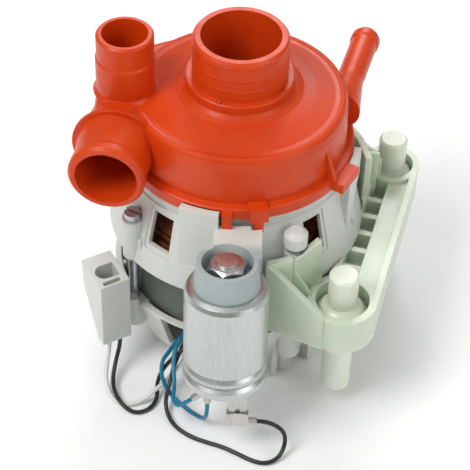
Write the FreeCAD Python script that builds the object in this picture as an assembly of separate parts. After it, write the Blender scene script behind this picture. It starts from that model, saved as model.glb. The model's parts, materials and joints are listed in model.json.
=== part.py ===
"""Dishwasher circulation pump with its run capacitor and suspension bracket.

Millimetres. Heights are counted from the joint between the casing and the
motor, up the shaft. The finished solids are moved down so that the origin
lies on the shaft axis at the hose stop of the inlet spout.
"""
import FreeCAD, Part
import math
import os
from FreeCAD import Vector

UP = Vector(0, 0, 1)
ORIGIN = Vector(0, 0, 0)

# Casing
casing_r = 41.1
casing_foot_r = casing_r + 0.9
casing_shoulder_z = 24.6
casing_wall = 2.4
flange_r = casing_r + 3.9
flange_h = 4.6
lug_bite = 0.9
spout_r = 18.2
spout_bore_r = 15.1
spout_top_z = 51.0
hose_stop_r = spout_r + 2.6
hose_stop_z = 33.4
dome_foot_z = 28.4
box_lug_angles = (-79.5, 40.5, 160.5)
claw_angles = (-107.0, -17.0, 73.0, 163.0)
claw_half_deg = 9.3
claw_top_z = 3.6
claw_hook_z = 1.4
claw_t = 2.75

# Side outlet, upright outlet and the scroll behind them
duct_z = 12.6
outlet_mouth = Vector(-casing_r - 7.1, 2.0 - casing_r, duct_z)
outlet_turn_deg = 8.0
outlet_lip_r = 14.6
outlet_neck_r = 13.8
outlet_bore_r = 11.7
outlet_lip_len = 4.2
outlet_back_r = 15.3
outlet_ring_r = 17.0
outlet_ring_t = 1.6
outlet_len = 20.2
scroll_rs = (casing_r + 4.4, casing_r + 10.4)
scroll_left_x = -casing_r - 13.5
scroll_front_y = -19.0
scroll_edge_r = 4.0
riser_x = -casing_r - 1.9
riser_y = 0.3
riser_r = 10.9
riser_foot_r = 11.4
riser_bore_r = 8.7
riser_ring_z = 40.3
riser_top_z = 50.0

# Hose nipple at the back
nipple_turn_deg = 15.0
nipple_r = 5.4
nipple_bore_r = 3.6
nipple_bead = 0.5
nipple_len = 32.5
nipple_inset = 16.0

# Motor
plate_rim_h = 6.0
plate_web = 2.4
stator_r = 45.4
stator_top_z = -34.4
stack_h = 25.4
rotor_r = 22.4
air_gap = 0.5
upper_bell_top_r = flange_r - 1.6
upper_bell_foot_r = stator_r + 5.3
upper_bell_foot_z = stator_top_z - 1.6
lower_bell_top_r = stator_r + 3.8
lower_bell_top_z = stator_top_z - stack_h + 0.8
lower_bell_foot_r = stator_r - 2.9
lower_bell_foot_z = lower_bell_top_z - 25.0
bell_wall = 2.4
stand_z = lower_bell_foot_z - 6.0
shaft_r = 4.0
running_gap = 0.04
screw_circle_r = stator_r + 3.0
screw_angles = (-145.0, -62.0, 35.0, 118.0)
hooded_screws = (-62.0, 35.0, 118.0)
screw_r = 2.0
screw_head_r = 3.2
screw_seat_z = -17.0
screw_head_h = 3.2
screw_end_z = lower_bell_top_z - 11.0
hood_r = 4.6

# Shaft seal and O-ring
seal_r = 11.0
seal_floor_z = -10.4
seal_face_z = 3.3
o_ring_r = 1.25

# Impeller
impeller_r = 30.0
impeller_z = 3.2
impeller_h = 15.6
impeller_eye_r = 12.6
vane_count = 7

# Capacitor on its arm, leaning back a little
cap_x = -2.5
cap_y = -flange_r - 19.4
cap_top_z = -3.0
cap_lean_deg = 6.0
cup_r = 11.4
cup_bore_r = 9.6
cup_h = 10.4
can_r = 15.9
can_len = 44.4
base_len = 2.6
stud_r = 4.0
nut_flats = 13.0
nut_h = 6.3

# Suspension bracket and its two pins
low_boss = Vector(stator_r - 3.8, -51.4, 0)
high_boss = Vector(stator_r + 18.4, 28.0, 0)
boss_r = 13.4
boss_wall = 3.0
high_boss_r = 11.6
boss_top_z = stator_top_z + 0.4
boss_foot_z = boss_top_z - 16.0
boss_floor_t = 3.0
rib_t = 2.6
pin_r = 5.8
pin_collar_z = boss_top_z - 5.0
pin_top_z = boss_top_z + 13.5
pin_foot_r = 5.8
pin_foot_z = boss_foot_z - 31.2

# Plug housing for the mains side
plug_out = 11.3
plug_angle = -146.3
plug_turn_deg = 29.5
plug_w = 12.4
plug_d = 18.0
plug_top_z = -40.0
plug_h = 32.0
plug_cavity = 13.0

# Leads
lead_r = 0.85
lead_hole_r = lead_r + 0.03
lead_hole_xs = (-2.6, 2.2)
lead_hole_y = 2.1 - plug_d / 2
floor_z = stand_z + lead_r + 0.05

os.makedirs("parts", exist_ok=True)
datum_shift = Vector(0, 0, -hose_stop_z)


def save(name, shape):
    """Write one piece, moved so that the hose stop is at height zero."""
    moved = shape.copy()
    moved.translate(datum_shift)
    moved.exportStep("parts/" + name + ".step")
    box = moved.BoundBox
    print(name, len(moved.Solids), moved.isValid(), round(moved.Volume, 1),
          round(box.XLength, 1), round(box.YLength, 1), round(box.ZLength, 1))


def rod(radius, z0, z1, x=0.0, y=0.0):
    return Part.makeCylinder(radius, z1 - z0, Vector(x, y, z0))


def tube(outer, inner, z0, z1, x=0.0, y=0.0):
    return rod(outer, z0, z1, x, y).cut(rod(inner, z0 - 1, z1 + 1, x, y))


def turned(points):
    """Revolve a closed outline of (radius, height) points about the shaft axis."""
    corners = [Vector(r, 0, z) for r, z in points]
    face = Part.Face(Part.makePolygon(corners + corners[:1]))
    return face.revolve(ORIGIN, UP, 360)


def turned_solid(points):
    shape = turned(points)
    return shape if shape.ShapeType == "Solid" else Part.Solid(shape.Shells[0])


def polar(radius, angle, z=0.0):
    a = math.radians(angle)
    return Vector(radius * math.cos(a), radius * math.sin(a), z)


def spun(shape, angle):
    copy = shape.copy()
    copy.rotate(ORIGIN, UP, angle)
    return copy


def around(shape, count, start=0.0):
    return [spun(shape, start + 360.0 * i / count) for i in range(count)]


def block(x0, x1, y0, y1, z0, z1):
    return Part.makeBox(x1 - x0, y1 - y0, z1 - z0, Vector(x0, y0, z0))


def wall(start, end, thickness, z0, z1):
    """An upright slab along the line between two plan points."""
    run = end - start
    length = run.Length
    slab = block(0, length, -thickness / 2, thickness / 2, z0, z1)
    slab.rotate(ORIGIN, UP, math.degrees(math.atan2(run.y, run.x)))
    slab.translate(Vector(start.x, start.y, 0))
    return slab


def wedge_wall(start, end, thickness, z0, z1_start, z1_end):
    """An upright slab whose top edge slopes from one end to the other."""
    run = end - start
    length = run.Length
    side = [Vector(0, 0, z0), Vector(length, 0, z0), Vector(length, 0, z1_end), Vector(0, 0, z1_start)]
    face = Part.Face(Part.makePolygon(side + side[:1]))
    slab = face.extrude(Vector(0, thickness, 0))
    slab.translate(Vector(0, -thickness / 2, 0))
    slab.rotate(ORIGIN, UP, math.degrees(math.atan2(run.y, run.x)))
    slab.translate(Vector(start.x, start.y, 0))
    return slab


def sector(r0, r1, middle, half, z0, z1):
    """A block of ring between two radii and two angles."""
    ring = tube(r1, r0, z0, z1)
    reach = r1 / math.cos(math.radians(half)) + 1
    corners = [Vector(0, 0, z0 - 1), polar(reach, middle - half, z0 - 1), polar(reach, middle + half, z0 - 1)]
    wedge = Part.Face(Part.makePolygon(corners + corners[:1])).extrude(Vector(0, 0, z1 - z0 + 2))
    return ring.common(wedge)


def hexagon(flats, z0, z1):
    corner = flats / math.sqrt(3)
    corners = [polar(corner, 60 * i + 18, z0) for i in range(6)]
    return Part.Face(Part.makePolygon(corners + corners[:1])).extrude(Vector(0, 0, z1 - z0))


# Casing
outlet_dir = Vector(-math.sin(math.radians(outlet_turn_deg)), -math.cos(math.radians(outlet_turn_deg)), 0)
outlet_neck = outlet_mouth - outlet_dir * (outlet_lip_len + 1.6)
nipple_dir = Vector(math.sin(math.radians(nipple_turn_deg)), math.cos(math.radians(nipple_turn_deg)), 0)
nipple_root = polar(casing_r + 5.87, 25.2, 13.0)
nipple_start = nipple_root - nipple_dir * nipple_inset
outlet_ring = outlet_mouth - outlet_dir * outlet_len
elbow_mid = Vector(riser_x, riser_y, duct_z)
elbow_r = riser_foot_r + 1.2
cavity_r = casing_r - casing_wall
cavity_top_z = casing_shoulder_z - casing_wall
scroll_top_z = casing_shoulder_z


def cone_between(p0, r0, p1, r1):
    run = p1 - p0
    if abs(r0 - r1) < 1e-6:
        return Part.makeCylinder(r0, run.Length, p0, run)
    return Part.makeCone(r0, r1, run.Length, p0, run)


def body_of_revolution():
    shell = [(0, 0), (flange_r, 0), (flange_r, flange_h - 0.6), (flange_r - 0.6, flange_h),
             (casing_foot_r, flange_h + 0.3), (casing_r + 0.5, casing_shoulder_z - 4.0),
             (casing_r, casing_shoulder_z - 1.3), (casing_r - 0.6, casing_shoulder_z - 0.2),
             (casing_r - 1.9, casing_shoulder_z + 0.3), (casing_r - 2.9, casing_shoulder_z),
             (casing_r - 4.6, casing_shoulder_z + 0.15), (casing_r - 12.0, casing_shoulder_z + 1.9),
             (hose_stop_r + 3.6, dome_foot_z - 0.9), (hose_stop_r + 1.4, dome_foot_z + 0.1),
             (hose_stop_r + 0.2, dome_foot_z + 1.4), (hose_stop_r, hose_stop_z - 0.5),
             (hose_stop_r - 0.5, hose_stop_z),
             (spout_r, hose_stop_z), (spout_r, spout_top_z - 1.2), (spout_r - 0.9, spout_top_z),
             (0, spout_top_z)]
    return turned_solid(shell)


def scroll_block(inset, z0, z1):
    """The scroll leaves the round wall at the back and widens into the outlets' box."""
    wall_start = polar(casing_r - inset, 122)
    left = scroll_left_x + inset
    front = scroll_front_y + inset
    spiral = [wall_start, polar(scroll_rs[0] - inset, 140), polar(scroll_rs[1] - inset, 158),
              Vector(left, riser_y + 5.7, 0)]
    curve = Part.BSplineCurve()
    curve.interpolate(spiral)
    corner = Vector(left, front, 0)
    inside = Vector(-casing_r / 2, front, 0)
    outline = Part.Wire([curve.toShape(), Part.LineSegment(spiral[-1], corner).toShape(),
                         Part.LineSegment(corner, inside).toShape(),
                         Part.LineSegment(inside, wall_start).toShape()])
    floor = Part.Face(outline)
    floor.translate(Vector(0, 0, z0))
    return floor.extrude(Vector(0, 0, z1 - z0))


def duct_outside():
    lip = Part.makeCylinder(outlet_lip_r, outlet_lip_len, outlet_mouth - outlet_dir * outlet_lip_len, outlet_dir)
    rounded = [edge for edge in lip.Edges if edge.Length > outlet_lip_r * 5 and
               (edge.CenterOfMass - outlet_mouth).Length < 0.1]
    lip = lip.makeChamfer(1.2, rounded)
    shoulder = cone_between(outlet_mouth - outlet_dir * outlet_lip_len, outlet_lip_r, outlet_neck, outlet_neck_r)
    barrel = cone_between(outlet_neck, outlet_neck_r, outlet_ring, outlet_back_r)
    ring = Part.makeCylinder(outlet_ring_r, outlet_ring_t, outlet_ring, outlet_dir)
    elbow = cone_between(outlet_ring + outlet_dir * 0.8, outlet_back_r - 0.1, elbow_mid, elbow_r - 0.8)
    return lip.multiFuse([shoulder, barrel, ring, elbow, Part.makeSphere(elbow_r, elbow_mid)])


def duct_inside():
    bore = cone_between(outlet_mouth + outlet_dir, outlet_bore_r, outlet_ring - outlet_dir * 4.0, outlet_bore_r)
    elbow = Part.makeSphere(riser_bore_r + 0.6, elbow_mid)
    return bore.fuse(elbow)


def riser(outside):
    if outside:
        foot = rod(riser_foot_r, duct_z, riser_ring_z - 1.0, riser_x, riser_y)
        step = Part.makeCone(riser_foot_r, riser_r, 1.0, Vector(riser_x, riser_y, riser_ring_z - 1.0))
        pipe = rod(riser_r, riser_ring_z, riser_top_z, riser_x, riser_y)
        top = [edge for edge in pipe.Edges if abs(edge.BoundBox.ZMin - riser_top_z) < 1e-3]
        flare = Part.makeCone(riser_foot_r + 1.2, riser_foot_r, 1.8, Vector(riser_x, riser_y, casing_shoulder_z - 0.2))
        return foot.multiFuse([step, pipe.makeChamfer(0.8, top), flare])
    return rod(riser_bore_r, duct_z, riser_top_z + 1, riser_x, riser_y)


def nipple(outside):
    if not outside:
        return cone_between(nipple_start, nipple_bore_r, nipple_root + nipple_dir * (nipple_len + 1), nipple_bore_r)
    tip = nipple_root + nipple_dir * nipple_len
    bead_r = nipple_r + nipple_bead
    bead = cone_between(tip - nipple_dir * 5.0, bead_r, tip - nipple_dir * 2.0, bead_r)
    rise = cone_between(tip - nipple_dir * 5.6, nipple_r, tip - nipple_dir * 5.0, bead_r)
    taper = cone_between(tip - nipple_dir * 2.0, bead_r, tip, nipple_r - 0.5)
    pipe = cone_between(nipple_start, nipple_r, tip - nipple_dir * 5.0, nipple_r)
    root = cone_between(nipple_start, nipple_r + 3.0, nipple_root + nipple_dir * 2.0, nipple_r)
    return pipe.multiFuse([rise, bead, taper, root])


def flange_lugs():
    """Bayonet teeth and stops along the flange's rim."""
    lugs = []
    tooth = block(flange_r - 3, flange_r + 2.4, -1.9, 1.9, -3.0, flange_h - 0.4)
    box = block(flange_r - 3, flange_r + 2.4, -3.6, 3.6, 0.0, flange_h + 1.4)
    tongue = block(flange_r - 0.8, flange_r + 2.4, -1.8, 1.8, -4.6, 0.5)
    for angle in (-94.0, 26.0, 146.0):
        lugs.append(spun(tooth, angle))
    for angle in box_lug_angles:
        lugs.append(spun(box, angle))
        lugs.append(spun(tongue, angle))
    gusset_side = [Vector(casing_r - 0.5, 0, flange_h), Vector(flange_r + 1.6, 0, flange_h),
                   Vector(casing_r - 0.5, 0, casing_shoulder_z - 4.5)]
    gusset = Part.Face(Part.makePolygon(gusset_side + gusset_side[:1])).extrude(Vector(0, 1.8, 0))
    pad = block(flange_r - 3, flange_r + 4.4, -6.5, 6.5, 0.0, flange_h - 0.6)
    for angle in (-38.0, 82.0):
        lugs.append(spun(gusset, angle))
        lugs.append(spun(pad, angle + 9.0))
    return lugs


def make_casing():
    outside = body_of_revolution()
    scroll = scroll_block(0, 0.6, scroll_top_z)
    tall = [edge for edge in scroll.Edges if edge.BoundBox.ZMin > scroll_top_z - 0.01]
    outer_top = [edge for edge in tall if edge.BoundBox.XMax < -casing_r / 2 + 1
                 and edge.BoundBox.YMin > scroll_front_y - 0.1 and edge.BoundBox.YLength > 5]
    scroll = scroll.makeFillet(scroll_edge_r, outer_top)
    outside = outside.multiFuse([scroll, duct_outside(), riser(True), nipple(True)] + flange_lugs())
    cavity = turned_solid([(0, -1), (casing_foot_r - 2.0, -1), (casing_foot_r - 2.0, 3.4), (cavity_r, 3.4),
                           (cavity_r - 0.5, cavity_top_z - 2.0), (cavity_r - 2.5, cavity_top_z),
                           (spout_bore_r + 4.0, cavity_top_z + 3.0), (spout_bore_r, cavity_top_z + 4.0),
                           (spout_bore_r, spout_top_z + 1), (0, spout_top_z + 1)])
    hollow = scroll_block(casing_wall, 3.4, scroll_top_z - casing_wall)
    casing = outside.cut(cavity.multiFuse([hollow, duct_inside(), riser(False), nipple(False)]))
    casing = casing.cut(rod(flange_r - lug_bite, -30, 0))
    for angle in claw_angles:
        post_room = sector(flange_r + 0.05, flange_r + 0.35 + claw_t + 0.2, angle, claw_half_deg + 0.4,
                           -10, claw_top_z + 0.2)
        hook_room = sector(flange_r - 1.1, flange_r + 0.5, angle, claw_half_deg - 1.1,
                           claw_hook_z - 0.1, claw_top_z + 0.2)
        casing = casing.cut(Part.makeCompound([post_room, hook_room]))
    nub = block(spout_r + 0.6, spout_r + 2.2, -0.7, 0.7, hose_stop_z - 0.6, hose_stop_z + 0.5)
    return casing.multiFuse([spun(nub, angle) for angle in (-112.0, -30.0, 60.0)]).removeSplitter()


casing = make_casing()
save("volute_casing", casing)


# Pump plate and the shaft seal it carries
plate_low_z = -plate_rim_h + 0.2
plate_rim_r = flange_r - 1.6
spigot_r = casing_foot_r - 4.6
hub_bore_r = seal_r + 0.05


def make_seal_plate():
    """Plate that closes the casing, with a pocket for the seal in its middle."""
    web_top = plate_low_z + plate_web
    return turned_solid([
        (shaft_r + 1.4, seal_floor_z - 2.0), (seal_r + 2.2, seal_floor_z - 2.0), (seal_r + 2.2, plate_low_z),
        (plate_rim_r - 0.8, plate_low_z), (plate_rim_r, plate_low_z + 0.8), (plate_rim_r, -0.05),
        (spigot_r, -0.05), (spigot_r, 3.0), (spigot_r - 2.0, 3.0), (spigot_r - 2.0, web_top),
        (seal_r + 2.4, web_top), (seal_r + 2.0, 0.8), (hub_bore_r, 0.8), (hub_bore_r, seal_floor_z),
        (shaft_r + 1.4, seal_floor_z)])


def make_spring(radius, wire_r, z0, z1, turns):
    """Open coil spring, with its end turns left round."""
    pitch = (z1 - z0 - 2 * wire_r) / turns
    path = Part.makeHelix(pitch, pitch * turns, radius)
    start = Part.Wire(Part.makeCircle(wire_r, Vector(radius, 0, 0), Vector(0, 1, 0)))
    coil = Part.Wire(path.Edges).makePipeShell([start], True, True)
    coil.translate(Vector(0, 0, z0 + wire_r))
    return coil


seal_plate = make_seal_plate()
save("seal_plate", seal_plate)
groove_mid_r = (spigot_r + casing_foot_r - 2.0) / 2
save("casing_o_ring", Part.makeTorus(groove_mid_r, o_ring_r, Vector(0, 0, o_ring_r + 0.02)))

bellows = turned_solid([
    (shaft_r + 1.0, seal_floor_z + 0.02), (seal_r, seal_floor_z + 0.02), (seal_r, seal_floor_z + 2.0),
    (seal_r - 3.8, seal_floor_z + 2.0), (seal_r - 3.8, -5.6), (seal_r - 3.2, -4.6), (seal_r - 3.8, -3.6),
    (seal_r - 3.8, -1.8), (seal_r - 1.6, -1.8), (seal_r - 1.6, 0.6), (seal_r - 2.4, 0.6),
    (seal_r - 2.4, -1.0), (shaft_r + 1.8, -1.0), (shaft_r + 1.8, seal_floor_z + 1.4),
    (shaft_r + 1.0, seal_floor_z + 1.4)])
save("seal_bellows", bellows)
spring = make_spring(seal_r - 1.9, 0.45, seal_floor_z + 2.1, -1.9, 4)
save("seal_spring", spring)
carbon = turned_solid([
    (shaft_r + 0.9, -0.9), (seal_r - 2.5, -0.9), (seal_r - 2.5, 1.8), (seal_r - 3.3, 2.2),
    (seal_r - 3.3, seal_face_z), (shaft_r + 0.9, seal_face_z)])
save("seal_carbon_ring", carbon)
ceramic = turned_solid([
    (shaft_r + 0.5, seal_face_z + 0.02), (seal_r - 1.9, seal_face_z + 0.02), (seal_r - 1.9, seal_face_z + 3.4),
    (shaft_r + 0.5, seal_face_z + 3.4)])
save("seal_ceramic_ring", ceramic)
ceramic_cup = turned_solid([
    (seal_r - 1.85, seal_face_z + 0.4), (seal_r - 0.6, seal_face_z + 0.4), (seal_r - 0.6, seal_face_z + 4.4),
    (shaft_r + 0.3, seal_face_z + 4.4), (shaft_r + 0.3, seal_face_z + 3.45), (seal_r - 1.85, seal_face_z + 3.45)])
save("seal_cup_rubber", ceramic_cup)


# Impeller
vane_in_r = 11.0
vane_t = 1.6
vane_sweep_deg = 58.0


def backward_vane(z0, z1):
    """One blade that trails the rotation, from the eye to the rim."""
    steps = 7
    ahead = []
    behind = []
    for i in range(steps):
        t = i / (steps - 1)
        radius = vane_in_r + (impeller_r - 0.6 - vane_in_r) * t
        sweep = -vane_sweep_deg * t ** 0.9
        half = math.degrees(vane_t / 2 / radius)
        behind.append(polar(radius, sweep - half, z0))
        ahead.append(polar(radius, sweep + half, z0))
    ahead.reverse()
    one = Part.BSplineCurve()
    one.interpolate(behind)
    two = Part.BSplineCurve()
    two.interpolate(ahead)
    loop = Part.Wire([one.toShape(), Part.LineSegment(behind[-1], ahead[0]).toShape(), two.toShape(),
                      Part.LineSegment(ahead[-1], behind[0]).toShape()])
    return Part.Face(loop).extrude(Vector(0, 0, z1 - z0))


def make_impeller():
    z0 = impeller_z
    top = impeller_z + impeller_h
    pocket_r = seal_r - 0.55
    pocket_z = seal_face_z + 4.45
    bore = shaft_r + 0.02
    hub = turned_solid([
        (pocket_r, z0), (impeller_r, z0), (impeller_r, z0 + 1.8), (16.0, z0 + 2.6), (11.9, z0 + 6.0),
        (7.4, z0 + 10.5), (6.6, z0 + 13.0), (5.6, z0 + 14.2), (bore, z0 + 14.2), (bore, pocket_z),
        (pocket_r, pocket_z)])
    shroud = turned_solid([
        (impeller_eye_r, top - 5.6), (impeller_r, z0 + 7.6), (impeller_r, z0 + 9.2),
        (impeller_eye_r + 2.4, top - 3.4), (impeller_eye_r + 1.8, top), (impeller_eye_r, top)])
    limit = turned_solid([
        (pocket_r + 0.4, z0 + 1.0), (impeller_r, z0 + 1.0), (impeller_r, z0 + 8.4), (impeller_eye_r, top - 4.6),
        (6.8, top - 4.6), (6.8, z0 + 11.0), (pocket_r + 0.4, z0 + 7.0)])
    vanes = [vane.common(limit) for vane in around(backward_vane(z0 + 0.5, top), vane_count)]
    return hub.multiFuse([shroud] + vanes).removeSplitter()


impeller = make_impeller()
save("impeller", impeller)

# Rotor: shaft, laminated core, cast end rings with fan nubs
core_top_z = stator_top_z
core_low_z = stator_top_z - stack_h
shaft_low_z = lower_bell_foot_z + 1.2
save("shaft", rod(shaft_r, shaft_low_z, impeller_z + 13.2))
rotor_bore = shaft_r + 0.01
save("rotor_core", tube(rotor_r, rotor_bore, core_low_z, core_top_z))
end_ring_h = 5.0
nub_h = 3.4


def make_end_ring(face_z, side):
    """Aluminium ring on the core's end, with short fan blades standing on it."""
    far_z = face_z + side * end_ring_h
    ring = tube(rotor_r - 0.4, rotor_r - 7.0, min(face_z, far_z), max(face_z, far_z))
    tip_z = far_z + side * nub_h
    nub = block(rotor_r - 6.6, rotor_r - 1.2, -0.9, 0.9, min(far_z, tip_z) - 0.2, max(far_z, tip_z) + 0.2)
    return ring.multiFuse(around(nub, 8))


save("rotor_end_rings", Part.makeCompound([make_end_ring(core_top_z + 0.01, 1),
                                           make_end_ring(core_low_z - 0.01, -1)]))

# Bearings: self-aligning bushes in the two bells
bush_r = 7.6
bush_len = 8.4
bush_bore_r = shaft_r + running_gap
upper_bush_z = seal_floor_z - 3.0 - bush_len
lower_bush_z = lower_bell_foot_z + 2.6


def make_bush(z0):
    mid = bush_len / 2
    waist = bush_r - 1.2
    return turned_solid([(bush_bore_r, z0), (waist, z0), (bush_r, z0 + mid - 1.4), (bush_r, z0 + mid + 1.4),
                         (waist, z0 + bush_len), (bush_bore_r, z0 + bush_len)])


def make_clip(z0):
    """Spring clip that presses the bush into its seat."""
    ring = turned_solid([(bush_r - 1.6, z0), (bush_seat_r, z0), (bush_seat_r, z0 + 0.5), (bush_r - 1.6, z0 + 0.5)])
    slot = block(bush_r - 2.0, bush_r + 0.6, -1.2, 1.2, z0 - 1, z0 + 2)
    return ring.cut(Part.makeCompound(around(slot, 6)))


bush_seat_r = bush_r + 2.4
save("upper_bush", make_bush(upper_bush_z))
save("lower_bush", make_bush(lower_bush_z))
save("upper_bush_clip", make_clip(upper_bush_z - 0.55))
save("lower_bush_clip", make_clip(lower_bush_z + bush_len + 0.05))
washer_in_r = shaft_r + 0.06
thrust_z = lower_bush_z + bush_len + 0.7
thrust = tube(7.0, washer_in_r, thrust_z, thrust_z + 0.8)
thrust_top = tube(7.0, washer_in_r, upper_bush_z - 1.9, upper_bush_z - 1.1)
save("thrust_washers", Part.makeCompound([thrust, thrust_top]))
spacer_low = tube(5.6, rotor_bore, thrust_z + 0.85, core_low_z - 0.02)
spacer_high = tube(5.6, rotor_bore, core_top_z + 0.02, upper_bush_z - 1.95)
save("rotor_spacers", Part.makeCompound([spacer_low, spacer_high]))

# Stator: laminated core with slots, the coils through them, insulating end plates
slot_count = 16
slot_in_r = rotor_r + 3.6
slot_out_r = stator_r - 8.4
slot_w = 5.2
coil_gap = 0.5
stator_bore_r = rotor_r + air_gap


def make_core():
    ring = tube(stator_r, stator_bore_r, core_low_z, core_top_z)
    slot = block(slot_in_r, slot_out_r, -slot_w / 2, slot_w / 2, core_low_z - 1, core_top_z + 1)
    mouth = block(stator_bore_r - 1, slot_in_r + 0.5, -0.9, 0.9, core_low_z - 1, core_top_z + 1)
    notch = block(stator_r - 0.8, stator_r + 1, -1.4, 1.4, core_low_z - 1, core_top_z + 1)
    cuts = around(slot, slot_count) + around(mouth, slot_count) + around(notch, 4, 4.0)
    return ring.cut(Part.makeCompound(cuts))


def make_coils():
    """Both coil heads and the legs that run between them through the slots."""
    low = core_low_z - plate_t - 0.05
    high = core_top_z + plate_t + 0.05
    head = [(slot_in_r + 0.6, 0), (slot_out_r + 3.0, 0), (slot_out_r + 4.2, 4.0), (slot_out_r + 2.6, 10.0),
            (slot_out_r - 2.0, 12.6), (slot_in_r + 3.0, 12.0), (slot_in_r + 0.6, 8.0)]
    top = turned_solid([(r, high + z) for r, z in head])
    bottom = turned_solid([(r, low - z) for r, z in head])
    leg = block(slot_in_r + coil_gap, slot_out_r - coil_gap, -slot_w / 2 + coil_gap, slot_w / 2 - coil_gap,
                low - 0.5, high + 0.5)
    return top.multiFuse([bottom] + around(leg, slot_count))


def make_end_plate(z0):
    plate = tube(slot_out_r + 5.0, stator_bore_r + 1.2, z0, z0 + plate_t)
    hole = block(slot_in_r + 0.3, slot_out_r - 0.3, -slot_w / 2 + 0.3, slot_w / 2 - 0.3, z0 - 1, z0 + 3)
    return plate.cut(Part.makeCompound(around(hole, slot_count)))


plate_t = 0.9
save("stator_core", make_core())
save("stator_coils", make_coils())
save("stator_end_plates", Part.makeCompound([make_end_plate(core_top_z + 0.02),
                                             make_end_plate(core_low_z - plate_t - 0.02)]))

# Capacitor frame: everything on its axis is built upright and then leant back
cap_move = FreeCAD.Placement(Vector(cap_x, cap_y, cap_top_z), FreeCAD.Rotation(Vector(1, 0, 0), -cap_lean_deg))


def lean(shape):
    copy = shape.copy()
    copy.Placement = cap_move.multiply(copy.Placement)
    return copy


cup_floor_top = -7.6
stud_hole_r = stud_r + 0.25

# Upper bell: bearing seat, pump plate seat, claws, windows and the capacitor's arm
bell_top_z = plate_low_z - 0.05
bell_top_t = 2.7
upper_windows = ((-128.5, 6.2), (-49.0, 5.4), (-8.0, 7.0), (16.0, 7.0), (54.0, 6.0), (98.0, 7.0),
                 (140.0, 6.0), (186.0, 7.0))
window_top_z = -9.4
window_foot_z = -24.6


def bell_r(z):
    """Outside radius of the upper bell's skirt at a height."""
    t = (bell_top_z - z) / (bell_top_z - upper_bell_foot_z)
    return upper_bell_top_r + (upper_bell_foot_r - upper_bell_top_r) * t


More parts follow.
